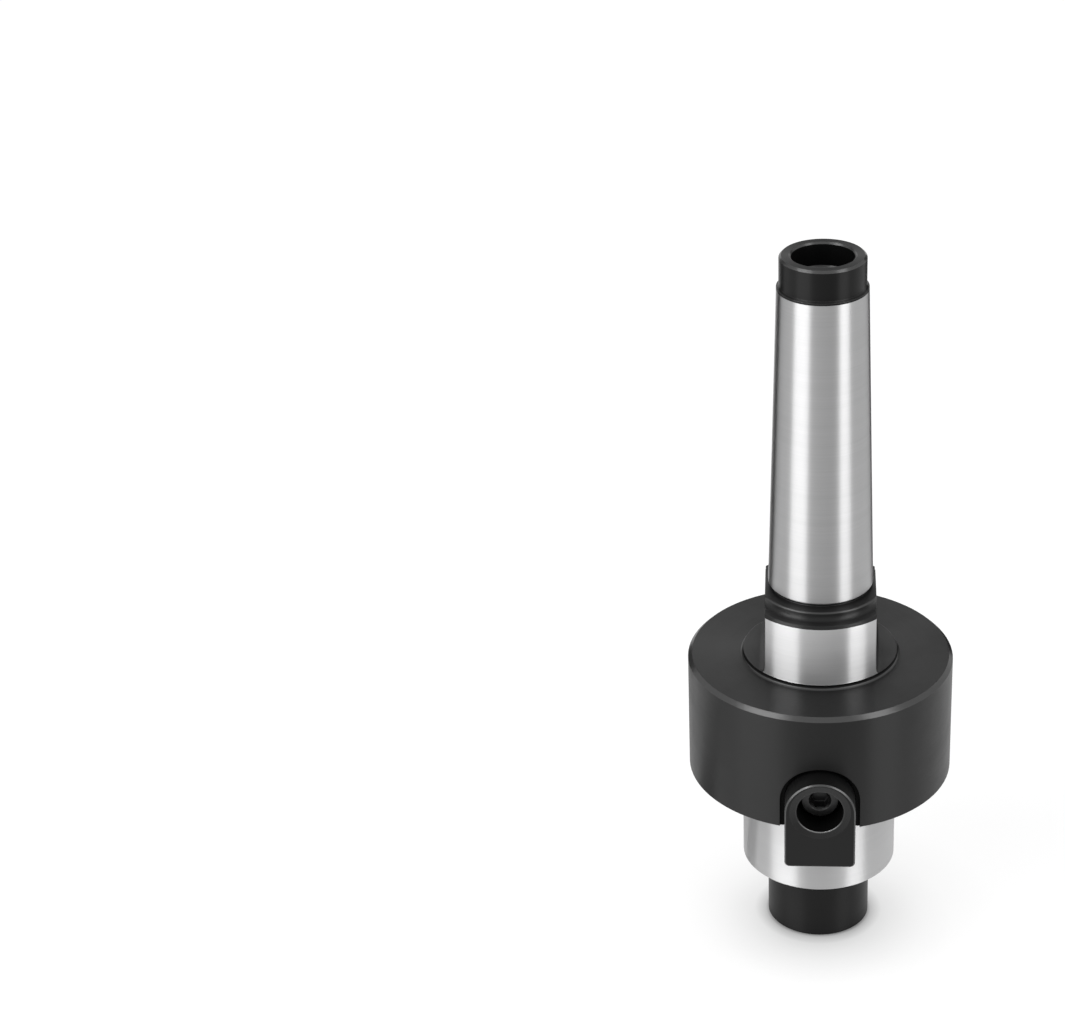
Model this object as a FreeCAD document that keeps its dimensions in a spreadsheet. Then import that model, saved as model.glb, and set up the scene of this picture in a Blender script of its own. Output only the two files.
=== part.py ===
import FreeCAD, Part
import math
import os
import Sketcher

# Shell mill arbor with a No. 2 self-holding taper shank and a 27 mm pilot. Millimetres, +Z up the shank.
# The origin is the middle of the retaining screw's head, on the surface that the arbor stands on.

doc = FreeCAD.newDocument("ShellMillArbor")
sheet = doc.addObject("Spreadsheet::Sheet", "Sizes")

drivingSizes = [
    # retaining screw
    ("clampHeadDiameter", 18.0),
    ("clampHeadHeight", 13.0),
    ("clampHeadEdge", 0.25),
    ("clampHexFlats", 10.0),
    ("clampHexDepth", 6.5),
    ("clampThread", 12.0),
    ("clampLength", 30.0),
    ("clampPointEdge", 1.2),
    ("clampHoleSpare", 5.0),
    # pilot
    ("pilotDiameter", 27.0),
    ("pilotLength", 19.0),
    ("pilotEdge", 0.25),
    # flange
    ("flangeDiameter", 46.0),
    ("flangeThickness", 22.2),
    ("flangeTopEdge", 0.7),
    ("flangeBottomEdge", 0.2),
    # collar with the spanner flats
    ("footDiameter", 26.7),
    ("footHeight", 0.8),
    ("footBevel", 0.45),
    ("collarDiameter", 26.5),
    ("collarHeight", 11.25),
    ("collarEdge", 0.45),
    ("spannerFlats", 19.0),
    ("flatsRootRadius", 1.0),
    ("flatsEdge", 0.2),
    # shoulder and relief groove under the taper
    ("shoulderStep", 2.45),
    ("shoulderRootRadius", 0.8),
    ("shoulderHeight", 1.5),
    ("shoulderEdge", 0.25),
    ("grooveDiameter", 17.0),
    ("grooveWidth", 0.55),
    # taper shank, No. 2 size
    ("gaugeDiameter", 17.78),
    ("gaugeOffset", 5.0),
    ("taperPerDiameter", 20.02),
    ("taperLength", 49.8),
    ("shankEdge", 0.25),
    ("endStep", 0.4),
    ("endLength", 5.5),
    ("endFoot", 0.25),
    ("endEdge", 0.4),
    # drawbar bore
    ("drawbarMouth", 10.5),
    ("drawbarMouthDepth", 4.0),
    ("drawbarMouthEdge", 0.3),
    ("drawbarCore", 8.5),
    ("drawbarDepth", 28.0),
    # drive keys and their seats
    ("keyWidth", 12.0),
    ("keyDrop", 5.2),
    ("keyArchRise", 5.4),
    ("keyStandOut", 3.5),
    ("keyPilotGap", 1.8),
    ("keyEdge", 0.25),
    ("keyCornerRadius", 0.9),
    ("reliefGap", 0.8),
    ("reliefDepth", 1.6),
    # key screws
    ("keyScrewThread", 4.0),
    ("keyScrewLength", 10.0),
    ("keyScrewHead", 7.0),
    ("keyScrewHeadHeight", 4.0),
    ("keyScrewHeadEdge", 0.45),
    ("keyScrewHexFlats", 3.0),
    ("keyScrewHexDepth", 2.2),
    ("keyScrewHexFlare", 3.9),
    ("keyScrewPointEdge", 0.5),
    ("keyScrewRise", 0.4),
    ("keyScrewSunk", 3.9),
    ("keyScrewHoleSpare", 1.0),
    ("keyScrewMouthGap", 0.5),
    ("keyScrewBodyGap", 0.15),
    ("mouthFlareWidth", 1.2),
    ("mouthFlareDepth", 0.3),
    # fits and common cutting values
    ("keySeatFit", 0.02),
    ("threadPlay", 0.03),
    ("drillPointAngle", 118.0),
    ("cutterRunOut", 2.0),
]
for row, (alias, value) in enumerate(drivingSizes, start=1):
    sheet.set(f"A{row}", alias)
    sheet.set(f"B{row}", str(value))
    sheet.setAlias(f"B{row}", alias)
doc.recompute()


def size(alias):
    return f"Sizes.{alias}"


def half(alias):
    return f"Sizes.{alias} / 2"


# Levels along the axis, each standing on the one before
pilotEnd = size("clampHeadHeight")
flangeFace = f"({pilotEnd} + {size('pilotLength')})"
flangeTop = f"({flangeFace} + {size('flangeThickness')})"
footTop = f"({flangeTop} + {size('footHeight')})"
collarTop = f"({footTop} + {size('collarHeight')})"
neckTop = f"({collarTop} + {size('shoulderHeight')})"
shankBottom = f"({neckTop} + {size('grooveWidth')})"
gaugePlane = f"({shankBottom} + {size('gaugeOffset')})"
taperTop = f"({gaugePlane} + {size('taperLength')})"
shankTop = f"({taperTop} + {size('endLength')})"
archCentre = f"({flangeFace} + {size('keyArchRise')})"
keyScrewAxis = f"({archCentre} + {size('keyScrewRise')})"

# Radii of the shoulder and of the foot of its hollow root
shoulder = f"({half('collarDiameter')} - {size('shoulderStep')})"
shoulderRoot = f"({shoulder} + {size('shoulderRootRadius')})"

# Radii of the cone at its two ends and of the turned-down end above it
conePerLength = f"1 / (2 * {size('taperPerDiameter')})"
largeEnd = f"({half('gaugeDiameter')} + {size('gaugeOffset')} * {conePerLength})"
smallEnd = f"({half('gaugeDiameter')} - {size('taperLength')} * {conePerLength})"
endRadius = f"({smallEnd} - {size('endStep')})"

# Distances from the axis to the key's faces, measured along Y
keySeat = f"({half('pilotDiameter')} + {size('keyPilotGap')})"
keyFace = f"({half('flangeDiameter')} + {size('keyStandOut')})"
reliefFloor = f"({half('flangeDiameter')} - {size('reliefDepth')})"
keyHeadSeat = f"({keyFace} - {size('keyScrewSunk')} - {size('keyScrewHeadHeight')})"
keyScrewTip = f"({keyHeadSeat} - {size('keyScrewLength')})"
keyHoleEnd = f"({keyScrewTip} - {size('keyScrewHoleSpare')})"


def valueOf(expression):
    return float(sheet.evalExpression(str(expression)))


def originPlane(body, role):
    return next(item for item in body.Origin.OriginFeatures if item.Role == role)


def newSketch(body, name, role, offset="0", shift="0"):
    """A sketch on one of the body's own planes, moved along its normal and along its own Y."""
    sketch = body.newObject("Sketcher::SketchObject", name)
    sketch.AttachmentSupport = [(originPlane(body, role), "")]
    sketch.MapMode = "FlatFace"
    sketch.setExpression("AttachmentOffset.Base.z", offset)
    sketch.setExpression("AttachmentOffset.Base.y", shift)
    return sketch


def pinAlong(sketch, kind, geometry, point, expression):
    """Holds one coordinate of a point of the sketch at an expression."""
    index = sketch.addConstraint(
        Sketcher.Constraint(kind, -1, 1, geometry, point, valueOf(expression)))
    name = f"{kind[-1].lower()}{geometry}at{point}"
    sketch.renameConstraint(index, name)
    sketch.setExpression(f"Constraints.{name}", str(expression))


def pin(sketch, geometry, point, x, y):
    """Holds one point of the sketch at two expressions measured from the sketch's origin."""
    pinAlong(sketch, "DistanceX", geometry, point, x)
    pinAlong(sketch, "DistanceY", geometry, point, y)


def drawOutline(sketch, corners):
    """Closed outline through corners given as pairs of expressions.

    A third and fourth expression give the centre of a round stretch that leads to the next corner.
    """
    spots = [FreeCAD.Vector(valueOf(corner[0]), valueOf(corner[1]), 0) for corner in corners]
    ends = []
    for index, corner in enumerate(corners):
        start, end = spots[index], spots[(index + 1) % len(spots)]
        if len(corner) == 2:
            sketch.addGeometry(Part.LineSegment(start, end))
            ends.append((1, 2))
            continue
        centre = FreeCAD.Vector(valueOf(corner[2]), valueOf(corner[3]), 0)
        angles = [math.atan2(spot.y - centre.y, spot.x - centre.x) for spot in (start, end)]
        forward = (angles[1] - angles[0]) % (2 * math.pi) <= math.pi
        ends.append((1, 2) if forward else (2, 1))
        circle = Part.Circle(centre, FreeCAD.Vector(0, 0, 1), (start - centre).Length)
        sketch.addGeometry(Part.ArcOfCircle(circle, *(angles if forward else reversed(angles))))
    for index in range(len(corners)):
        after = (index + 1) % len(corners)
        sketch.addConstraint(
            Sketcher.Constraint("Coincident", index, ends[index][1], after, ends[after][0]))
    for index, corner in enumerate(corners):
        pin(sketch, index, ends[index][0], corner[0], corner[1])
        if len(corner) > 2:
            pinAlong(sketch, "DistanceX", index, 3, corner[2])


def drawArch(sketch, halfWidth, bottom, centre):
    """Straight sides under a full round top."""
    reach, low, mid = valueOf(halfWidth), valueOf(bottom), valueOf(centre)
    spots = [(-reach, mid), (-reach, low), (reach, low), (reach, mid)]
    spots = [FreeCAD.Vector(x, y, 0) for x, y in spots]
    for start, end in zip(spots, spots[1:]):
        sketch.addGeometry(Part.LineSegment(start, end))
    circle = Part.Circle(FreeCAD.Vector(0, mid, 0), FreeCAD.Vector(0, 0, 1), reach)
    sketch.addGeometry(Part.ArcOfCircle(circle, 0, math.pi))
    for first, second in ((0, 1), (1, 2)):
        sketch.addConstraint(Sketcher.Constraint("Coincident", first, 2, second, 1))
    sketch.addConstraint(Sketcher.Constraint("Coincident", 2, 2, 3, 1))
    sketch.addConstraint(Sketcher.Constraint("Coincident", 0, 1, 3, 2))
    pin(sketch, 0, 1, f"-({halfWidth})", centre)
    pin(sketch, 1, 1, f"-({halfWidth})", bottom)
    pin(sketch, 2, 1, halfWidth, bottom)
    pin(sketch, 2, 2, halfWidth, centre)
    pinAlong(sketch, "DistanceY", 3, 3, centre)


def drawHexagon(sketch, flats, centre="0"):
    """Regular hexagon with two flats parallel to the sketch's X."""
    corner = f"{flats} / 2 / cos(30)"
    corners = [(f"{corner} * cos({angle})", f"{centre} + {corner} * sin({angle})")
               for angle in range(0, 360, 60)]
    drawOutline(sketch, corners)


def drawHole(sketch, radius, level):
    """Circle for a round hole centred on the sketch's Y axis at the given level."""
    circle = Part.Circle(FreeCAD.Vector(0, valueOf(level), 0), FreeCAD.Vector(0, 0, 1), valueOf(radius))
    sketch.addGeometry(circle)
    pin(sketch, 0, 3, "0", level)
    index = sketch.addConstraint(Sketcher.Constraint("Radius", 0, valueOf(radius)))
    sketch.renameConstraint(index, "radius")
    sketch.setExpression("Constraints.radius", radius)


def turn(body, name, kind, sketch, axis):
    """A full Revolution or Groove about one of the sketch's axes."""
    feature = body.newObject(f"PartDesign::{kind}", name)
    feature.Profile = sketch
    feature.ReferenceAxis = (sketch, [axis])
    feature.Angle = 360
    doc.recompute()
    return feature


def cut(body, name, sketch, length=None, outward=False, bothWays=False):
    """A Pocket: through all where no length is given, outward along the sketch's normal if asked."""
    before = body.Shape.Volume
    feature = body.newObject("PartDesign::Pocket", name)
    feature.Profile = sketch
    if length is None:
        feature.Type = "ThroughAll"
    else:
        feature.setExpression("Length", length)
    feature.Reversed = outward
    if bothWays:
        feature.Midplane = True
    doc.recompute()
    if not body.Shape.Volume < before:
        raise ValueError(f"{name} cuts nothing")
    return feature


def dress(body, name, kind, base, amount, wanted):
    """Fillet or Chamfer on the edges of base that pass a test."""
    picked = [f"Edge{index}" for index, edge in enumerate(base.Shape.Edges, start=1) if wanted(edge)]
    if not picked:
        raise ValueError(f"{name} finds no edge")
    feature = body.newObject(f"PartDesign::{kind}", name)
    feature.Base = (base, picked)
    feature.setExpression("Radius" if kind == "Fillet" else "Size", amount)
    doc.recompute()
    return feature


def repeat(body, name, kind, originals, **settings):
    """A pattern of features, which counts once it is the body's tip."""
    feature = body.newObject(f"PartDesign::{kind}", name)
    feature.Originals = originals
    for key, value in settings.items():
        setattr(feature, key, value)
    body.Tip = feature
    doc.recompute()
    return feature


def ringAt(radius, level):
    """Test for a whole circle about the Z axis."""
    def wanted(edge):
        curve = edge.Curve
        return (isinstance(curve, Part.Circle)
                and abs(curve.Radius - valueOf(radius)) < 1e-4
                and abs(curve.Center.z - valueOf(level)) < 1e-4
                and math.hypot(curve.Center.x, curve.Center.y) < 1e-4)
    return wanted


def makeArborBody():
    """Turned body: pilot, flange, collar, shoulder, groove, taper and black end in one outline."""
    body = doc.addObject("PartDesign::Body", "ArborBody")
    body.Label = "arbor_body"
    outline = newSketch(body, "TurnedOutline", "XZ_Plane")
    drawOutline(outline, [
        ("0", pilotEnd),
        (f"{half('pilotDiameter')} - {size('pilotEdge')}", pilotEnd),
        (half("pilotDiameter"), f"{pilotEnd} + {size('pilotEdge')}"),
        (half("pilotDiameter"), flangeFace),
        (f"{half('flangeDiameter')} - {size('flangeBottomEdge')}", flangeFace),
        (half("flangeDiameter"), f"{flangeFace} + {size('flangeBottomEdge')}"),
        (half("flangeDiameter"), f"{flangeTop} - {size('flangeTopEdge')}"),
        (f"{half('flangeDiameter')} - {size('flangeTopEdge')}", flangeTop),
        (half("footDiameter"), flangeTop),
        (half("footDiameter"), footTop),
        (half("collarDiameter"), footTop),
        (half("collarDiameter"), f"{collarTop} - {size('collarEdge')}"),
        (f"{half('collarDiameter')} - {size('collarEdge')}", collarTop),
        (shoulderRoot, collarTop, shoulderRoot, f"{collarTop} + {size('shoulderRootRadius')}"),
        (shoulder, f"{collarTop} + {size('shoulderRootRadius')}"),
        (shoulder, f"{neckTop} - {size('shoulderEdge')}"),
        (f"{shoulder} - {size('shoulderEdge')}", neckTop),
        (half("grooveDiameter"), neckTop),
        (half("grooveDiameter"), shankBottom),
        (largeEnd, shankBottom),
        (smallEnd, taperTop),
        (endRadius, taperTop),
        (endRadius, shankTop),
        ("0", shankTop),
    ])
    turned = turn(body, "Turning", "Revolution", outline, "V_Axis")
    for name, amount, ring in (
            ("ShankEdge", "shankEdge", ringAt(largeEnd, shankBottom)),
            ("FootBevel", "footBevel", ringAt(half("footDiameter"), flangeTop)),
            ("EndFoot", "endFoot", ringAt(endRadius, taperTop)),
            ("EndEdge", "endEdge", ringAt(endRadius, shankTop))):
        turned = dress(body, name, "Chamfer", turned, size(amount), ring)
    millSpannerFlats(body)
    millKeySeats(body)
    boreEnds(body)
    return body


def millSpannerFlats(body):
    """Two flats across collar and shoulder, down to the foot ring, with the cutter's root radius."""
    near, far = half("spannerFlats"), f"{half('collarDiameter')} + {size('cutterRunOut')}"
    rootX, rootZ = f"{near} + {size('flatsRootRadius')}", f"{footTop} + {size('flatsRootRadius')}"
    sketch = newSketch(body, "FlatOutline", "XZ_Plane")
    drawOutline(sketch, [
        (near, rootZ, rootX, rootZ),
        (rootX, footTop),
        (far, footTop),
        (far, neckTop),
        (near, neckTop),
    ])
    flat = cut(body, "Flat", sketch, size("flangeDiameter"), bothWays=True)
    both = repeat(body, "BothFlats", "Mirrored", [flat],
                  MirrorPlane=(originPlane(body, "YZ_Plane"), [""]))

    def isUprightFlatEdge(edge):
        tops = [vertex.Point for vertex in edge.Vertexes]
        return (len(tops) == 2 and abs(tops[0].z - tops[1].z) > valueOf(size('collarHeight')) / 2
                and all(abs(abs(top.x) - valueOf(near)) < 1e-4 for top in tops))
    dress(body, "FlatsEdge", "Chamfer", both, size("flatsEdge"), isUprightFlatEdge)


def millKeySeats(body):
    """Arched seat for each key, opened out at the rim, with the tapped hole for its screw."""
    below = f"{flangeFace} - {size('keyDrop')}"
    relief = newSketch(body, "ReliefOutline", "XZ_Plane", reliefFloor)
    drawArch(relief, f"{half('keyWidth')} + {size('reliefGap')}", below, archCentre)
    reliefCut = cut(body, "SeatRelief", relief, outward=True)
    seat = newSketch(body, "SeatOutline", "XZ_Plane", keySeat)
    drawArch(seat, f"{half('keyWidth')} + {size('keySeatFit')}", below, archCentre)
    seatCut = cut(body, "KeySeat", seat, outward=True)
    tapped = newSketch(body, "KeyScrewCircle", "XZ_Plane", keySeat)
    drawHole(tapped, f"{half('keyScrewThread')} + {size('threadPlay')}", keyScrewAxis)
    tappedCut = cut(body, "KeyScrewHole", tapped, f"{keySeat} - {keyHoleEnd}")
    repeat(body, "BothSeats", "PolarPattern", [reliefCut, seatCut, tappedCut],
           Axis=(originPlane(body, "Z_Axis"), [""]), Angle=360, Occurrences=2)


def boreEnds(body):
    """Retaining screw hole up the pilot and drawbar bore down the shank, both with drill points."""
    pointRise = f"tan(90 - {size('drillPointAngle')} / 2)"
    clamp = f"({half('clampThread')} + {size('threadPlay')})"
    clampEnd = f"({pilotEnd} + {size('clampLength')} + {size('clampHoleSpare')})"
    hole = newSketch(body, "ClampHoleOutline", "XZ_Plane")
    drawOutline(hole, [
        ("0", f"{pilotEnd} - {size('cutterRunOut')}"),
        (clamp, f"{pilotEnd} - {size('cutterRunOut')}"),
        (clamp, clampEnd),
        ("0", f"{clampEnd} + {clamp} * {pointRise}"),
    ])
    turn(body, "ClampHole", "Groove", hole, "V_Axis")
    mouth, core = half("drawbarMouth"), half("drawbarCore")
    mouthFloor = f"({shankTop} - {size('drawbarMouthDepth')})"
    coreEnd = f"({shankTop} - {size('drawbarDepth')})"
    bore = newSketch(body, "DrawbarOutline", "XZ_Plane")
    drawOutline(bore, [
        ("0", f"{shankTop} + {size('cutterRunOut')}"),
        (f"{mouth} + {size('drawbarMouthEdge')}", f"{shankTop} + {size('cutterRunOut')}"),
        (f"{mouth} + {size('drawbarMouthEdge')}", shankTop),
        (mouth, f"{shankTop} - {size('drawbarMouthEdge')}"),
        (mouth, mouthFloor),
        (core, f"{mouthFloor} - ({mouth} - {core})"),
        (core, coreEnd),
        ("0", f"{coreEnd} - {core} * {pointRise}"),
    ])
    turn(body, "DrawbarBore", "Groove", bore, "V_Axis")


def makeDriveKey(label, angle):
    """Key with a full round top, a stepped screw hole and broken outer edges."""
    body = doc.addObject("PartDesign::Body", label.title().replace("_", ""))
    body.Label = label
    outline = newSketch(body, "KeyOutline", "XZ_Plane", keySeat)
    drawArch(outline, half("keyWidth"), f"{flangeFace} - {size('keyDrop')}", archCentre)
    block = body.newObject("PartDesign::Pad", "KeyBlock")
    block.Profile = outline
    block.setExpression("Length", f"{keyFace} - {keySeat}")
    doc.recompute()
    lowLevel = valueOf(f"{flangeFace} - {size('keyDrop')}")
    outerFace = -valueOf(keyFace)

    def isLowCorner(edge):
        middle = edge.CenterOfMass
        return (abs(middle.z - lowLevel) < 1e-4
                and abs(abs(middle.x) - valueOf(half("keyWidth"))) < 1e-4)

    def isOuter(edge):
        spots = [vertex.Point for vertex in edge.Vertexes] + [edge.CenterOfMass]
        return all(abs(spot.y - outerFace) < 1e-4 for spot in spots)
    cornered = dress(body, "KeyCorners", "Fillet", block, size("keyCornerRadius"), isLowCorner)
    dress(body, "KeyEdges", "Chamfer", cornered, size("keyEdge"), isOuter)
    mouth = f"({half('keyScrewHead')} + {size('keyScrewMouthGap')})"
    bodyHole = f"({half('keyScrewThread')} + {size('keyScrewBodyGap')})"
    hole = newSketch(body, "ScrewHoleOutline", "YZ_Plane", shift=keyScrewAxis)
    drawOutline(hole, [
        (f"-{keyFace} - {size('cutterRunOut')}", "0"),
        (f"-{keyFace} - {size('cutterRunOut')}", f"{mouth} + {size('mouthFlareWidth')}"),
        (f"-{keyFace}", f"{mouth} + {size('mouthFlareWidth')}"),
        (f"-{keyFace} + {size('mouthFlareDepth')}", mouth),
        (f"-{keyHeadSeat}", mouth),
        (f"-{keyHeadSeat}", bodyHole),
        (f"-{keySeat} + {size('cutterRunOut')}", bodyHole),
        (f"-{keySeat} + {size('cutterRunOut')}", "0"),
    ])
    turn(body, "ScrewHole", "Groove", hole, "H_Axis")
    body.Placement = FreeCAD.Placement(FreeCAD.Vector(), FreeCAD.Rotation(angle, 0, 0))
    return body


def makeKeyScrew(label, angle):
    """Socket head cap screw lying along Y, its head seated in the key."""
    body = doc.addObject("PartDesign::Body", label.title().replace("_", ""))
    body.Label = label
    head, stem = half("keyScrewHead"), half("keyScrewThread")
    top = f"({keyHeadSeat} + {size('keyScrewHeadHeight')})"
    outline = newSketch(body, "ScrewOutline", "YZ_Plane", shift=keyScrewAxis)
    drawOutline(outline, [
        (f"-{top}", "0"),
        (f"-{top}", f"{head} - {size('keyScrewHeadEdge')}"),
        (f"-{top} + {size('keyScrewHeadEdge')}", head),
        (f"-{keyHeadSeat}", head),
        (f"-{keyHeadSeat}", stem),
        (f"-{keyScrewTip} - {size('keyScrewPointEdge')}", stem),
        (f"-{keyScrewTip}", f"{stem} - {size('keyScrewPointEdge')}"),
        (f"-{keyScrewTip}", "0"),
    ])
    turn(body, "Turning", "Revolution", outline, "H_Axis")
    hexagon = newSketch(body, "SocketOutline", "XZ_Plane", top)
    drawHexagon(hexagon, size("keyScrewHexFlats"), keyScrewAxis)
    cut(body, "Socket", hexagon, size("keyScrewHexDepth"))
    flare = newSketch(body, "FlareOutline", "YZ_Plane", shift=keyScrewAxis)
    drawOutline(flare, [
        (f"-{top}", "0"),
        (f"-{top}", half("keyScrewHexFlare")),
        (f"-{top} + {half('keyScrewHexFlare')}", "0"),
    ])
    turn(body, "SocketFlare", "Groove", flare, "H_Axis")
    body.Placement = FreeCAD.Placement(FreeCAD.Vector(), FreeCAD.Rotation(angle, 0, 0))
    return body


def makeRetainingScrew():
    """Large socket head cap screw, head down, seated on the pilot's end."""
    body = doc.addObject("PartDesign::Body", "RetainingScrew")
    body.Label = "retaining_screw"
    head, stem = half("clampHeadDiameter"), half("clampThread")
    tip = f"({pilotEnd} + {size('clampLength')})"
    outline = newSketch(body, "ScrewOutline", "XZ_Plane")
    drawOutline(outline, [
        ("0", "0"),
        (f"{head} - {size('clampHeadEdge')}", "0"),
        (head, size("clampHeadEdge")),
        (head, pilotEnd),
        (stem, pilotEnd),
        (stem, f"{tip} - {size('clampPointEdge')}"),
        (f"{stem} - {size('clampPointEdge')}", tip),
        ("0", tip),
    ])
    turn(body, "Turning", "Revolution", outline, "V_Axis")
    hexagon = newSketch(body, "SocketOutline", "XY_Plane")
    drawHexagon(hexagon, size("clampHexFlats"))
    cut(body, "Socket", hexagon, size("clampHexDepth"), outward=True)
    return body


parts = [makeArborBody(), makeRetainingScrew()]
for place, angle in (("front", 0), ("rear", 180)):
    parts.append(makeDriveKey(f"drive_key_{place}", angle))
    parts.append(makeKeyScrew(f"key_screw_{place}", angle))
doc.recompute()

for item in doc.Objects:
    if {"Invalid", "Error"} & set(item.State):
        raise ValueError(f"{item.Label} failed: {item.State}")
for part in parts:
    if part.Shape.isNull() or not part.Shape.isValid() or len(part.Shape.Solids) != 1:
        raise ValueError(f"{part.Label} is not one valid solid")

os.makedirs("parts", exist_ok=True)
for part in parts:
    part.Shape.exportStep(f"parts/{part.Label}.step")
    box = part.Shape.BoundBox
    print(f"{part.Label}: {part.Shape.Volume:.0f} mm3, "
          f"z {box.ZMin:.2f} to {box.ZMax:.2f}, y {box.YMin:.2f} to {box.YMax:.2f}")
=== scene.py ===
import math
import bmesh
import bpy
from mathutils import Matrix, Vector


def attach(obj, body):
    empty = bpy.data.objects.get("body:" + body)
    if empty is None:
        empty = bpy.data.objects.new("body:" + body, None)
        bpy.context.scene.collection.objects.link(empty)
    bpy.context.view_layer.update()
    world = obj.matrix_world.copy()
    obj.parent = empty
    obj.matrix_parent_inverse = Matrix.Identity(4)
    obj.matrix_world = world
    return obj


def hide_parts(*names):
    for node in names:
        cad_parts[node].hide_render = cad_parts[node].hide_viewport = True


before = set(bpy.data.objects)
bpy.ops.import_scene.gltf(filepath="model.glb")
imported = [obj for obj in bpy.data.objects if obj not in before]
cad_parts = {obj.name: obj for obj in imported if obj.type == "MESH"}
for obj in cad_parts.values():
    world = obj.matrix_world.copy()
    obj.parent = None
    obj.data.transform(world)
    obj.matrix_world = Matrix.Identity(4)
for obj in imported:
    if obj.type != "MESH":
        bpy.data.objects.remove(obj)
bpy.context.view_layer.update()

mm = 0.001
zAxis = Vector((0, 0, 1))
touching = 1e-7               # metres between two points that count as one


def titled(kind, name):  # "softbox" and "left" give "softboxLeft"
    return kind + name[0].upper() + name[1:]


photoCamera = {
    "frameWidth": 1065,       # pixels
    "focalLength": 2881.26,   # pixels
    "sensorWidth": 36.0,
    "nearest": 10 * mm,
    "farthest": 50.0,         # metres
    "distance": 500 * mm,
    "elevation": 0.50663,     # radians above the floor
    "azimuth": -0.0087,       # radians round the object, minus is left of its front
    "aimHeight": 66 * mm,
    "turn": 0.09983,          # radians, the object stands right of the picture's middle
    "tilt": -0.02644,         # radians, and below it
    "roll": -0.01034,         # radians
}


def makeCamera(view):
    right = Vector((1, 0, 0))
    ahead = Vector((0, math.cos(view["elevation"]), -math.sin(view["elevation"])))
    turned = (Matrix.Rotation(view["roll"], 3, "Z") @ Matrix.Rotation(-view["tilt"], 3, "X")
              @ Matrix.Rotation(view["turn"], 3, "Y") @ Matrix((right, right.cross(ahead), ahead)))
    pose = Matrix((turned[0], turned[1], -turned[2])).transposed().to_4x4()
    pose.translation = zAxis * view["aimHeight"] - ahead * view["distance"]
    lens = bpy.data.cameras.new("photoCamera")
    lens.sensor_width = view["sensorWidth"]
    lens.lens = view["focalLength"] / view["frameWidth"] * view["sensorWidth"]
    lens.clip_start = view["nearest"]
    lens.clip_end = view["farthest"]
    camera = bpy.data.objects.new("photoCamera", lens)
    camera.matrix_world = Matrix.Rotation(view["azimuth"], 4, "Z") @ pose
    bpy.context.scene.collection.objects.link(camera)
    bpy.context.scene.camera = camera


makeCamera(photoCamera)
print("camera placed")


class Signal:  # one output socket, so that shader maths reads as plain expressions
    def __init__(self, recipe, socket):
        self.recipe = recipe
        self.socket = socket

    def __add__(self, other):
        return self.recipe.maths("ADD", self, other)

    def __sub__(self, other):
        return self.recipe.maths("SUBTRACT", self, other)

    def __rsub__(self, other):
        return self.recipe.maths("SUBTRACT", other, self)

    def __mul__(self, other):
        return self.recipe.maths("MULTIPLY", self, other)

    __radd__ = __add__
    __rmul__ = __mul__


class Recipe:  # the nodes of one material, or of the world
    def __init__(self, owner):
        self.owner = owner
        owner.use_nodes = True
        self.tree = owner.node_tree
        self.tree.nodes.clear()

    def feed(self, socket, value):
        if isinstance(value, Signal):
            self.tree.links.new(value.socket, socket)
        else:
            socket.default_value = value

    def node(self, kind, settings=None, sockets=None, output=0):
        made = self.tree.nodes.new("ShaderNode" + kind)
        for name, value in (settings or {}).items():
            setattr(made, name, value)
        for name, value in (sockets or {}).items():
            self.feed(made.inputs[name], value)
        return Signal(self, made.outputs[output]) if made.outputs else None

    def maths(self, operation, first, second=0.0):
        return self.node("Math", {"operation": operation}, {0: first, 1: second})

    def spread(self, value, low, high, newLow=0.0, newHigh=1.0):
        return self.node("MapRange", {"clamp": True}, {
            "Value": value, "From Min": low, "From Max": high, "To Min": newLow, "To Max": newHigh})

    def mixColour(self, factor, first, second):  # 6, 7 and output 2 are the Mix node's colours
        return self.node("Mix", {"data_type": "RGBA"}, {0: factor, 6: first, 7: second}, output=2)

    def noise(self, vector, scale=1.0, detail=3.0, roughness=0.6):
        return self.node("TexNoise", None, {
            "Vector": vector, "Scale": scale, "Detail": detail, "Roughness": roughness})

    def place(self):  # where a point of the surface lies
        return self.node("TexCoord", output="Object")

    def parts(self, vector, axes):
        return [self.node("SeparateXYZ", None, {0: vector}, output=axis) for axis in axes]

    def finish(self, shader):
        self.node("OutputMaterial", None, {"Surface": shader})
        return self.owner


def newRecipe(name):
    return Recipe(bpy.data.materials.new(name))


def grey(value):
    return (value, value, value, 1.0)


bevelSamples = 6
brushedTurn = 0.25            # of a full turn: a light's reflection is drawn out along the axis


def edgeMask(recipe, radius, gain):  # 0 on open faces, 1 where a rounded edge turns away from them
    rounded = recipe.node("Bevel", {"samples": bevelSamples}, {"Radius": radius})
    plain = recipe.node("NewGeometry", output="Normal")
    turn = recipe.node("VectorMath", {"operation": "DOT_PRODUCT"}, {0: rounded, 1: plain},
                       output="Value")
    return rounded, recipe.spread((1 - turn) * gain, 0.0, 1.0)


def latheCoordinates(recipe, across, along):  # slow round the axis, quick up it and out from it
    x, y, z = recipe.parts(recipe.place(), "XYZ")
    radius = recipe.maths("SQRT", x * x + y * y)
    return recipe.node("CombineXYZ", None, {0: x * across, 1: y * across, 2: (z + radius) * along})


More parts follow.
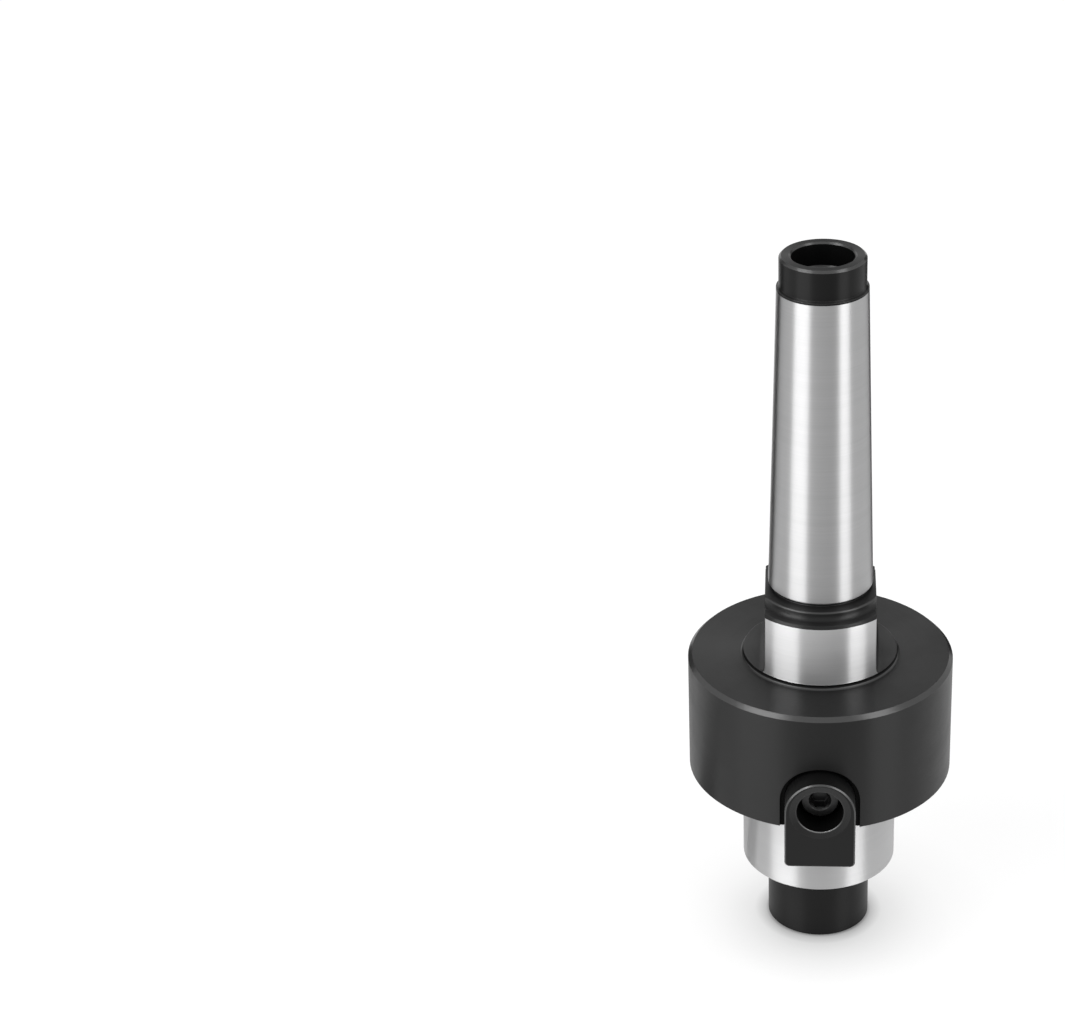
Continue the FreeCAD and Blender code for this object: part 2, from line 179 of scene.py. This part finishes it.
groundFinish = {
    "steel": 0.44,
    "blueShare": 1.005,
    "lineTone": 0.042,        # how much the grinding lines darken and lighten
    "roughness": 0.42,
    "roughnessSpread": 0.08,
    "anisotropy": 1.0,
    "lineReach": 16 * mm,
    "lineWidth": 0.11 * mm,
    "lineDepth": 0.0012 * mm,
    "bumpStrength": 0.35,
    "broadScales": (0.5, 0.07),   # the broad lines' scales round and up, over the fine lines' own
    "edgeRadius": 0.12 * mm,
    "edgeGain": 3.0,
    # lighter steel along the rounded edges: a painted highlight
    "edgeHighlight": 0.10,
}
# Lighter copies of the ground steel: their extra brightness is painted light on the collar and the
# pilot, and the collar is also smoother
collarLitFinish = {**groundFinish, "steel": 0.52, "roughness": 0.32}
pilotLitFinish = {**groundFinish, "steel": 0.51}


def makeGroundSteel(name, settings):
    recipe = newRecipe(name)
    reach, width = settings["lineReach"], settings["lineWidth"]
    broadRound, broadUp = settings["broadScales"]
    fine = recipe.noise(latheCoordinates(recipe, 1 / reach, 1 / width))
    broad = recipe.noise(latheCoordinates(recipe, broadRound / reach, broadUp / width),
                         detail=2.0, roughness=0.5)
    rounded, edge = edgeMask(recipe, settings["edgeRadius"], settings["edgeGain"])
    # The tone holds the grinding lines and a painted highlight along the rounded edges
    tone = (settings["steel"] + (fine - 0.5) * settings["lineTone"] * 2
            + (broad - 0.5) * settings["lineTone"] + edge * settings["edgeHighlight"])
    colour = recipe.node("CombineColor", None, {0: tone, 1: tone, 2: tone * settings["blueShare"]})
    bump = recipe.node("Bump", None, {
        "Strength": settings["bumpStrength"], "Distance": settings["lineDepth"],
        "Height": fine, "Normal": rounded})
    return recipe.finish(recipe.node("BsdfPrincipled", None, {
        "Base Color": colour,
        "Metallic": 1.0,
        "Roughness": settings["roughness"] + (fine - 0.5) * settings["roughnessSpread"],
        "Anisotropic": settings["anisotropy"],
        "Anisotropic Rotation": brushedTurn,
        "Normal": bump,
    }))


blackCoat = {                 # what the blackened surfaces share
    "lathe": False,           # turned lines round the axis, or else straight ones up the piece
    "metal": 0.0,
    "wornMetal": 0.7,
    "anisotropy": 0.9,        # of the turned ones
    "latheScales": (40.0, 1 / (0.16 * mm)),
    "straightScales": (1 / (0.12 * mm), 300.0, 60.0),
    "lineDepth": 0.0015 * mm,
    "bumpStrength": 0.35,
    "roughnessSpread": 0.10,
    "cloudScale": 260.0,
    "patches": (0.30, 0.70, 0.35, 1.0),   # how the cloud leaves some of an edge less worn
    "edgeRadius": 0.16 * mm,
    "edgeGain": 3.2,
}
blackFinish = {               # and what differs from surface to surface
    "turned": {"body": 0.005, "worn": 0.12, "specular": 0.31, "roughness": 0.38, "lathe": True},
    "end": {"body": 0.004, "worn": 0.12, "specular": 0.18, "roughness": 0.38, "lathe": True},
    # edge, keyEdge and ring: lighter and glossier than the faces beside them, edge and keyEdge also
    # more metallic, a painted highlight along the chamfers, fillets and steps they cover
    "edge": {"body": 0.06, "worn": 0.14, "metal": 0.6, "specular": 0.5, "roughness": 0.32,
             "lathe": True},
    "keyEdge": {"body": 0.025, "worn": 0.12, "metal": 0.3, "specular": 0.90, "roughness": 0.24},
    "ring": {"body": 0.014, "worn": 0.10, "specular": 0.50, "roughness": 0.30},
    # inner: nearly black and barely glossy, a painted shade in the bores, slots, counterbores and the
    # drawbar's thread, and in the crease round the collar's foot
    "inner": {"body": 0.002, "worn": 0.01, "specular": 0.08, "roughness": 0.50},
    "key": {"body": 0.005, "worn": 0.14, "specular": 0.23, "roughness": 0.36,
            "edgeRadius": 0.10 * mm},
    # flare: a painted highlight round the counterbore's mouth, on top of its worn edges
    "flare": {"body": 0.006, "worn": 0.24, "specular": 0.34, "roughness": 0.28,
              "rimLevel": 37.8 * mm, "lipHighlightRadii": (4.05 * mm, 4.25 * mm),
              "lipHighlightRises": (-3.6 * mm, -1.5 * mm), "lipHighlightAbove": 0.1},
    "screw": {"body": 0.005, "worn": 0.30, "specular": 0.50, "roughness": 0.30,
              "lineDepth": 0.0008 * mm},
    "head": {"body": 0.004, "worn": 0.10, "specular": 0.22, "roughness": 0.38, "lathe": True},
    "thread": {"body": 0.005, "worn": 0.10, "specular": 0.28, "roughness": 0.30, "lineDepth": 0.0},
}


def makeBlackOxide(name, settings):
    recipe = newRecipe(titled("black", name))
    place = recipe.place()
    if settings["lathe"]:
        lines = recipe.noise(latheCoordinates(recipe, *settings["latheScales"]))
    else:
        lines = recipe.noise(recipe.node("VectorMath", {"operation": "MULTIPLY"}, {
            0: place, 1: settings["straightScales"]}))
    cloud = recipe.noise(place, settings["cloudScale"], detail=4.0)
    rounded, edge = edgeMask(recipe, settings["edgeRadius"], settings["edgeGain"])
    wearAndLipHighlight = edge * recipe.spread(cloud, *settings["patches"])
    if "lipHighlightRadii" in settings:   # a painted highlight round the mouth of a bore along Y, strongest below its middle where the light falls on it
        x, z = recipe.parts(place, "XZ")
        rise = z - settings["rimLevel"]
        lipHighlight = recipe.spread(recipe.maths("SQRT", x * x + rise * rise), *settings["lipHighlightRadii"], 1.0, 0.0)
        lipHighlight = lipHighlight * recipe.spread(rise, *settings["lipHighlightRises"], 1.0, settings["lipHighlightAbove"])
        wearAndLipHighlight = recipe.maths("MAXIMUM", wearAndLipHighlight, lipHighlight)
    bump = recipe.node("Bump", None, {
        "Strength": settings["bumpStrength"], "Distance": settings["lineDepth"],
        "Height": lines, "Normal": rounded})
    uneven = settings["roughnessSpread"]
    return recipe.finish(recipe.node("BsdfPrincipled", None, {
        "Base Color": recipe.mixColour(wearAndLipHighlight, grey(settings["body"]), grey(settings["worn"])),
        "Metallic": recipe.spread(wearAndLipHighlight, 0.0, 1.0, settings["metal"], settings["wornMetal"]),
        "Specular IOR Level": settings["specular"],
        "Roughness": settings["roughness"] + (lines - 0.5) * uneven + (cloud - 0.5) * uneven,
        "Anisotropic": settings["anisotropy"] if settings["lathe"] else 0.0,
        "Anisotropic Rotation": brushedTurn,
        "Normal": bump,
    }))


groundSteel = makeGroundSteel("groundSteel", groundFinish)
collarSteel = makeGroundSteel("collarSteel", collarLitFinish)
pilotSteel = makeGroundSteel("pilotSteel", pilotLitFinish)
black = {name: makeBlackOxide(name, {**blackCoat, **finish}) for name, finish in blackFinish.items()}
print("materials made")


def copyNode(node):  # the CAD node's faces as one closed skin
    shape = bmesh.new()
    shape.from_mesh(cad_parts[node].data)
    bmesh.ops.remove_doubles(shape, verts=shape.verts, dist=touching)
    for face in shape.faces:
        face.smooth = True
        face.material_index = 0
    return shape


def roundAxis(point, direction):
    return Vector(point), Vector(direction).normalized()


upAxis = roundAxis((0, 0, 0), zAxis)


def isBevel(upright):  # a face at about 45 degrees, by how far its normal leans along an axis
    return 0.6 < upright < 0.8


threadForms = {               # how far along one pitch, and how deep there
    "outer": ((0.0, 0.0), (0.125, 0.0), (0.44, 1.0), (0.56, 1.05), (0.69, 1.0)),
    "inner": ((0.0, 0.0), (0.25, 0.0), (0.56, 1.0), (0.69, 1.0)),
}
faceSlack = 0.02 * mm         # how far off a wall or a level counts as on it
wallGap = 0.05 * mm           # from the wall's two end rings to the thread


def isWall(face, thread, axis):  # whether a face is part of the plain round wall
    point, along = axis
    for vertex in face.verts:
        arm = vertex.co - point
        level = arm.dot(along)
        off = (arm - along * level).length - thread["radius"]
        between = thread["wallFrom"] - faceSlack < level < thread["wallTo"] + faceSlack
        if not between or abs(off) >= faceSlack:
            return False
    return abs(face.normal.dot(along)) < 0.5   # and no end face


def ringAt(level, edges, axis):  # the edges that lie at a level along the axis
    point, along = axis
    return [edge for edge in edges
            if abs((edge.verts[0].co - point).dot(along) - level) < 2 * wallGap]


def cutThread(shape, thread, axis, materialIndex):
    # The plain round wall between two rings gives way to a right-hand helical one
    point, along = axis
    across = along.orthogonal().normalized()
    upright = along.cross(across)
    walls = [face for face in shape.faces if isWall(face, thread, axis)]
    bmesh.ops.delete(shape, geom=walls, context="FACES")
    openRings = [edge for edge in shape.edges if edge.is_boundary]
    sense = -1 if thread["form"] == "outer" else 1
    pitch, segments = thread["pitch"], thread["segments"]
    low, high = thread["wallFrom"] + wallGap, thread["wallTo"] - wallGap
    turns = math.ceil((high - low) / pitch)
    rows = [(whole + fraction, depth) for whole in range(-1, turns + 1)
            for fraction, depth in threadForms[thread["form"]]]
    columns = []
    for step in range(segments + 1):
        angle = 2 * math.pi * step / segments
        out = across * math.cos(angle) + upright * math.sin(angle)
        column = []
        for turn, depth in rows:
            level = min(max(low + pitch * (turn + step / segments), low), high)
            cut = min((level - thread["cutFrom"]) / thread["runIn"],
                      (thread["cutTo"] - level) / thread["runOut"], 1.0)
            radius = thread["radius"] + sense * thread["depth"] * depth * max(cut, 0.0)
            column.append(shape.verts.new(point + along * level + out * radius))
        columns.append(column)
    for here, there in zip(columns, columns[1:]):
        for index in range(len(rows) - 1):
            around = [here[index], there[index], there[index + 1], here[index + 1]]
            face = shape.faces.new(around if sense < 0 else around[::-1])
            face.smooth = True
            face.material_index = materialIndex
    made = [vertex for column in columns for vertex in column]
    bmesh.ops.remove_doubles(shape, verts=made, dist=touching)
    known = set(openRings)
    threadRings = [edge for edge in shape.edges if edge.is_boundary and edge not in known]
    for level in (thread["wallFrom"], thread["wallTo"]):
        rings = ringAt(level, openRings, axis) + ringAt(level, threadRings, axis)
        for face in bmesh.ops.bridge_loops(shape, edges=rings)["faces"]:
            face.smooth = True
    bmesh.ops.recalc_face_normals(shape, faces=shape.faces)


turnedFit = {
    "lined": 0.985,           # how nearly a face of a turned surface looks straight out from the axis
    "slack": 0.004 * mm,      # how far its corners may be off the surface
    "slackShare": 0.006,      # and more by this share of its reach along the axis
    "least": 1e-9,            # metres from the axis, less than which is on no side of it
    "endFace": 1e-4,          # how little the normal of a face square to the axis leans out
}


def turnedNormals(face, corners, axis, fit):
    # The normals at a face's corners where it lies on a surface turned about the axis
    point, direction = axis
    upright = face.normal.dot(direction)
    outs, levels = [], []
    for corner in corners:
        arm = corner - point
        levels.append(arm.dot(direction))
        outs.append(arm - direction * levels[-1])
    middle = sum(outs, Vector())
    if middle.length < fit["least"]:
        return None
    flat = face.normal - direction * upright
    if flat.length < fit["endFace"]:
        return [face.normal] * len(corners)
    if abs(flat.normalized().dot(middle.normalized())) < fit["lined"]:
        return None
    sign = 1 if flat.dot(middle) > 0 else -1
    heights = [sign * flat.length * out.length + upright * level for out, level in zip(outs, levels)]
    if max(heights) - min(heights) > fit["slack"] + fit["slackShare"] * (max(levels) - min(levels)):
        return None
    return [(out.normalized() * sign * flat.length + direction * upright).normalized()
            if out.length > touching else face.normal for out in outs]


def roundNormals(mesh, axes, soft):
    # Turned faces get their surface's own normals, soft ones the mesh's, and all others stay flat
    normals = [None] * len(mesh.loops)
    vertexNormals = [Vector(normal.vector) for normal in mesh.vertex_normals]
    for face in mesh.polygons:
        corners = [mesh.vertices[index].co for index in face.vertices]
        if face.material_index in soft:
            found = [vertexNormals[index] for index in face.vertices]
        else:
            tries = (turnedNormals(face, corners, axis, turnedFit) for axis in axes)
            found = next((normals for normals in tries if normals), [face.normal] * len(corners))
        for loop, normal in zip(face.loop_indices, found):
            normals[loop] = normal
    mesh.normals_split_custom_set(normals)


def makePiece(shape, name, node, body, zones, axes, softZones=()):
    mesh = bpy.data.meshes.new(name)
    shape.to_mesh(mesh)
    shape.free()
    order = list(zones)
    for zone in order:
        mesh.materials.append(zones[zone])
    roundNormals(mesh, axes, [order.index(zone) for zone in softZones])
    piece = bpy.data.objects.new(name, mesh)
    bpy.context.scene.collection.objects.link(piece)
    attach(piece, body)
    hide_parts(node)


def blackZones(*names):
    return {name: black[name] for name in names}


arborBody = {                 # levels up the axis, and radii, where one finish meets another
    "pilotTop": 32 * mm,
    "pilotRadius": 12.9 * mm,
    "flangeTop": 54.2 * mm,
    "flangeRadius": 22.95 * mm,
    "footLevel": 55 * mm,
    "footShadow": 54.5 * mm,  # how low the painted shade, a dark line round the collar's foot, reaches
    "footInner": 13.26 * mm,
    "footOuter": 13.55 * mm,
    "collarTop": 66 * mm,
    "collarRadius": 13.25 * mm,
    "collarSlack": 0.1 * mm,
    "hollowTop": 67.1 * mm,
    "hollowRadius": 12.25 * mm,
    "shankBottom": 68.3 * mm,
    "shankBlack": 122.75 * mm,
    "shankLeast": 7.6 * mm,
    "shankInside": 6.5 * mm,
    "endBevel": (123.1 * mm, 124.1 * mm),   # this one is as black as the end
    "archLevel": 37.4 * mm,   # of the key seats' arch, an axis along Y
    "screwLevel": 37.8 * mm,  # of the key screws' axis
    "slotHalf": 6.85 * mm,
    "slotFloor": 15 * mm,
    "clampHole": 6.1 * mm,    # the retaining screw's
    "clampHoleEnd": 53 * mm,
    "drawbarBore": 5.3 * mm,
    "drawbarEnd": 97 * mm,
    "drawbarStep": (123.6 * mm, 124.6 * mm),
    "mouthEdge": 128.35 * mm,
}
drawbarThread = {
    "form": "inner", "radius": 4.25 * mm, "depth": 0.79 * mm, "pitch": 1.5 * mm, "segments": 64,
    "wallFrom": 100.6 * mm, "wallTo": 123.6 * mm,
    "cutFrom": 103 * mm, "runIn": 2 * mm, "cutTo": 123.5 * mm, "runOut": 0.5 * mm,
}
archAxis = roundAxis((0, 0, arborBody["archLevel"]), (0, 1, 0))
screwAxis = roundAxis((0, 0, arborBody["screwLevel"]), (0, 1, 0))


def arborZone(centre, normal, sizes):  # which finish a face of the arbor's body has
    straight, mostly, partly, hardly = 0.9, 0.5, 0.3, 0.02   # how far a face looks one way
    z = centre.z
    radius = math.hypot(centre.x, centre.y)
    outward = (normal.x * centre.x + normal.y * centre.y) / max(radius, turnedFit["least"])
    # The clamp hole, the drawbar bore but for its step, and the key seats' slots get the inner finish:
    # painted shade in these hollows
    if z < sizes["clampHoleEnd"] and radius < sizes["clampHole"] and abs(normal.z) < straight:
        return "inner"
    if sizes["drawbarEnd"] < z < sizes["mouthEdge"] and radius < sizes["drawbarBore"]:
        stepLow, stepHigh = sizes["drawbarStep"]
        return "ring" if stepLow < z < stepHigh else "inner"
    inSlot = (abs(centre.x) < sizes["slotHalf"] and abs(centre.y) > sizes["slotFloor"]
              and radius < sizes["flangeRadius"])
    if inSlot and sizes["pilotTop"] < z < sizes["footLevel"] and normal.z < mostly:
        return "inner"
    if z < sizes["pilotTop"]:
        return "pilot" if radius > sizes["pilotRadius"] and outward > mostly else "turned"
    # A dark line of painted shade round the collar's foot, down its short wall and the top of its
    # fillet
    if (sizes["footShadow"] < z < sizes["footLevel"] + faceSlack
            and sizes["footInner"] < radius < sizes["footOuter"]):
        return "inner"
    if sizes["footLevel"] < z < sizes["collarTop"] and outward > straight:
        return "collar" if abs(radius - sizes["collarRadius"]) < sizes["collarSlack"] else "turned"
    if (sizes["collarTop"] < z < sizes["hollowTop"] and radius < sizes["hollowRadius"]
            and abs(outward) > hardly):
        return "hollow"
    if (sizes["shankBottom"] < z < sizes["shankBlack"] and radius > sizes["shankLeast"]
            and outward > mostly):
        return "ground"
    if isBevel(normal.z) and (outward > partly or z > sizes["mouthEdge"]):
        if sizes["flangeTop"] < z < sizes["shankBottom"]:
            return "turned" if sizes["footLevel"] < z < sizes["hollowTop"] else "ring"
        bevelLow, bevelHigh = sizes["endBevel"]
        if not bevelLow < z < bevelHigh:
            return "edge"
    return "end" if z > sizes["shankBlack"] else "turned"


def makeArborBody(sizes):
    shape = copyNode("arbor_body")
    zones = {"turned": black["turned"], "ground": groundSteel, "collar": collarSteel,
             "pilot": pilotSteel, **blackZones("inner", "edge", "ring", "end"),
             "hollow": black["turned"], "thread": black["inner"]}
    order = list(zones)
    for level in (sizes["footShadow"], sizes["shankBlack"]):   # where a finish ends within a face
        crossed = [face for face in shape.faces
                   if min(vertex.co.z for vertex in face.verts) < level
                   and max(vertex.co.z for vertex in face.verts) > level
                   and math.hypot(*face.calc_center_median().xy) > sizes["shankInside"]]
        parts = dict.fromkeys(part for face in crossed for part in (face, *face.edges, *face.verts))
        bmesh.ops.bisect_plane(shape, geom=list(parts), plane_co=(0, 0, level), plane_no=zAxis)
    for face in shape.faces:
        face.material_index = order.index(arborZone(face.calc_center_median(), face.normal, sizes))
    cutThread(shape, drawbarThread, upAxis, order.index("thread"))
    makePiece(shape, "arborBody", "arbor_body", "arbor", zones,
              [upAxis, archAxis, screwAxis], ("hollow", "ring", "thread"))


driveKey = {
    "faceLevel": 26.15 * mm,  # out along Y
    "faceTurn": 0.995,        # how nearly the face looks straight along Y
    "counterbore": 4.05 * mm,
    "flareRadius": 5.2 * mm,
}


def makeDriveKey(place, sizes):
    shape = copyNode("drive_key_" + place)
    zones = blackZones("key", "keyEdge", "flare", "inner")
    order = list(zones)
    for face in shape.faces:
        centre = face.calc_center_median()
        radius = math.hypot(centre.x, centre.z - arborBody["screwLevel"])
        turn = abs(face.normal.y)
        atLip = abs(centre.y) > sizes["faceLevel"] and turn < sizes["faceTurn"]
        # The counterbore's wall gets the inner finish: painted shade
        if radius < sizes["counterbore"]:
            face.material_index = order.index("inner")
        elif radius < sizes["flareRadius"] and atLip:
            face.material_index = order.index("flare")
        elif isBevel(turn):
            face.material_index = order.index("keyEdge")
    makePiece(shape, titled("driveKey", place), "drive_key_" + place, "arbor",
              zones, [archAxis, screwAxis])


keyScrewThread = {
    "form": "outer", "radius": 2 * mm, "depth": 0.43 * mm, "pitch": 0.7 * mm, "segments": 40,
    "wallFrom": 9.1 * mm, "wallTo": 18.6 * mm,
    "cutFrom": 9.2 * mm, "runIn": 0.4 * mm, "cutTo": 17.6 * mm, "runOut": 0.7 * mm,
}


def makeKeyScrew(place):
    shape = copyNode("key_screw_" + place)
    zones = blackZones("screw", "thread")
    outAxis = roundAxis(screwAxis[0], (0, -1 if place == "front" else 1, 0))
    cutThread(shape, keyScrewThread, outAxis, list(zones).index("thread"))
    makePiece(shape, titled("keyScrew", place), "key_screw_" + place, "arbor",
              zones, [screwAxis], ("thread",))


retainingScrew = {
    "headRadius": 8.9 * mm,   # farther out lies the head's side
}
retainingThread = {
    "form": "outer", "radius": 6 * mm, "depth": 1.07 * mm, "pitch": 1.75 * mm, "segments": 72,
    "wallFrom": 13 * mm, "wallTo": 41.8 * mm,
    "cutFrom": 15.2 * mm, "runIn": 1.75 * mm, "cutTo": 41.7 * mm, "runOut": 0.8 * mm,
}


def makeRetainingScrew(sizes):
    shape = copyNode("retaining_screw")
    zones = blackZones("screw", "thread", "head")
    order = list(zones)
    for face in shape.faces:
        if math.hypot(*face.calc_center_median().xy) > sizes["headRadius"]:
            face.material_index = order.index("head")
    cutThread(shape, retainingThread, upAxis, order.index("thread"))
    makePiece(shape, "retainingScrew", "retaining_screw", "screw",
              zones, [upAxis], ("thread",))


makeArborBody(arborBody)
for place in ("front", "rear"):
    makeDriveKey(place, driveKey)
    makeKeyScrew(place)
makeRetainingScrew(retainingScrew)
print("pieces made")

studio = {
    "surround": 0.30,         # world light on the object
    "floorColour": 0.25,
    "floorReach": 6.0,        # metres
    "floorCorners": 96,
    # The painted soft shadow is centred a little in front of the axis, so the floor is shaded more in
    # front
    "paintedShadowCentre": (0, -4 * mm, 0),
    # Emission that whitens the floor, by mm from that centre, with less of it near the object as a
    # painted soft shadow, and less of it by mm from the axis as a painted contact shadow under the
    # screw's head
    "whiteningAndPaintedShadowSteps": ((7.2, 0.51), (10, 0.61), (12.7, 0.675), (15.8, 0.73), (19.0, 0.78), (24.3, 0.825),
              (34, 0.86), (400, 0.90), (1000, 0.94)),
    "paintedContactShadowSteps": ((9.0, -0.38), (9.5, -0.20), (10.2, -0.12), (11.5, 0.0)),
}


def whiteSeen(recipe):  # 1 for rays that look at the backdrop, straight or through a reflection
    camera, glossy, clear = (recipe.node("LightPath", output="Is " + kind + " Ray")
                             for kind in ("Camera", "Glossy", "Transmission"))
    return recipe.maths("MAXIMUM", recipe.maths("MAXIMUM", camera, glossy), clear)


def makeWorld(settings):
    world = bpy.data.worlds.new("studio")
    bpy.context.scene.world = world
    recipe = Recipe(world)
    strength = recipe.spread(whiteSeen(recipe), 0.0, 1.0, settings["surround"], 1.0)
    light = recipe.node("Background", None, {"Color": grey(1.0), "Strength": strength})
    recipe.node("OutputWorld", None, {"Surface": light})


def stepped(recipe, place, centre, steps):  # a level that runs through the steps, out from a centre
    out = recipe.node("VectorMath", {"operation": "DISTANCE"}, {0: place, 1: centre}, output="Value")
    level = steps[0][1]
    for (near, low), (far, high) in zip(steps, steps[1:]):
        level = recipe.spread(out, near * mm, far * mm, 0.0, high - low) + level
    return level


def makeFloor(settings):
    shape = bmesh.new()
    bmesh.ops.create_circle(shape, cap_ends=True, segments=settings["floorCorners"],
                            radius=settings["floorReach"])
    mesh = bpy.data.meshes.new("floor")
    shape.to_mesh(mesh)
    shape.free()
    recipe = newRecipe("floorPaper")
    paper = recipe.node("BsdfDiffuse", None, {"Color": grey(settings["floorColour"])})
    place = recipe.place()
    # Painted shadow: the whitening emission dips round the object and under the screw's head
    level = (stepped(recipe, place, settings["paintedShadowCentre"], settings["whiteningAndPaintedShadowSteps"])
             + stepped(recipe, place, (0, 0, 0), settings["paintedContactShadowSteps"]))
    whiteningAndPaintedShadow = recipe.node("Emission", None, {"Strength": whiteSeen(recipe) * level})
    mesh.materials.append(recipe.finish(recipe.node("AddShader", None, {0: paper, 1: whiteningAndPaintedShadow})))
    floor = bpy.data.objects.new("floor", mesh)
    bpy.context.scene.collection.objects.link(floor)
    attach(floor, "screw")   # the arbor stands on this screw's head, so the floor stays under it


softboxes = {                 # azimuths in degrees, from the camera's side to the right
    "left": {"azimuth": -50, "elevation": 28, "upright": True, "width": 0.35, "height": 0.60,
             "distance": 0.56, "radiance": 2.85},
    "right": {"azimuth": 53.5, "elevation": 28, "upright": True, "width": 0.22, "height": 0.60,
              "distance": 0.56, "radiance": 3.0},
    "top": {"azimuth": -60, "elevation": 54, "upright": False, "width": 0.30, "height": 0.20,
            "distance": 0.60, "radiance": 5.0},
    "topRight": {"azimuth": 62, "elevation": 56, "upright": False, "width": 0.20, "height": 0.16,
                 "distance": 0.60, "radiance": 4.2},
}


def turnedTo(azimuth, elevation):
    side, rise = math.radians(azimuth), math.radians(elevation)
    return Vector((math.sin(side) * math.cos(rise), -math.cos(side) * math.cos(rise),
                   math.sin(rise)))


def makeSoftbox(name, settings):
    out = turnedTo(settings["azimuth"], settings["elevation"])
    facing = turnedTo(settings["azimuth"], 0) if settings["upright"] else out
    lamp = bpy.data.lights.new(titled("softbox", name), "AREA")
    lamp.shape = "RECTANGLE"
    lamp.size = settings["width"]
    lamp.size_y = settings["height"]
    lamp.energy = settings["radiance"] * math.pi * lamp.size * lamp.size_y
    box = bpy.data.objects.new(lamp.name, lamp)
    box.matrix_world = facing.to_track_quat("Z", "Y").to_matrix().to_4x4()
    box.location = out * settings["distance"]
    box.visible_camera = False
    bpy.context.scene.collection.objects.link(box)


paintedReflectionCards = {                     # sheets that only reflections see, which paint dark and pale reflections into the metal: degrees, mm, and how bright
    "left": {"azimuths": (-141, -117), "radii": (75, 75), "levels": (26, 320),
             "tones": (0.01, 0.01)},
    "right": {"azimuths": (134, 154), "radii": (75, 75), "levels": (26, 320),
              "tones": (0.01, 0.01)},
    "leftLow": {"azimuths": (-115, -92), "radii": (34, 72), "levels": (1, 1),
                "tones": (0.01, 0.01)},
    "front": {"azimuths": (-26, 38), "radii": (115, 450), "levels": (2, 2), "tones": (1.0, 0.30)},
}


def makeReflectionCard(name, settings):
    left, right = settings["azimuths"]
    near, far = settings["radii"]
    low, high = settings["levels"]
    corners = [turnedTo(azimuth, 0) * radius * mm + zAxis * level * mm
               for azimuth, radius, level in ((left, near, low), (right, near, low),
                                              (right, far, high), (left, far, high))]
    mesh = bpy.data.meshes.new(titled("reflectionCard", name))
    mesh.from_pydata(corners, [], [(0, 1, 2, 3)])
    recipe = newRecipe(mesh.name)
    x, y = recipe.parts(recipe.place(), "XY")
    tone = recipe.spread(recipe.maths("ARCTAN2", x, 0 - y), math.radians(left), math.radians(right),
                         *settings["tones"])
    # Each sheet's glow, near black on most and pale on the front one, shows only in the metal's
    # reflections: a painted reflection
    mesh.materials.append(recipe.finish(recipe.node("Emission", None, {"Strength": tone})))
    reflectionCard = bpy.data.objects.new(mesh.name, mesh)
    bpy.context.scene.collection.objects.link(reflectionCard)
    reflectionCard.visible_camera = reflectionCard.visible_diffuse = reflectionCard.visible_shadow = False


makeWorld(studio)
makeFloor(studio)
for name, settings in softboxes.items():
    makeSoftbox(name, settings)
for name, settings in paintedReflectionCards.items():
    makeReflectionCard(name, settings)
bpy.context.scene.view_settings.view_transform = "Standard"
print("studio lit")
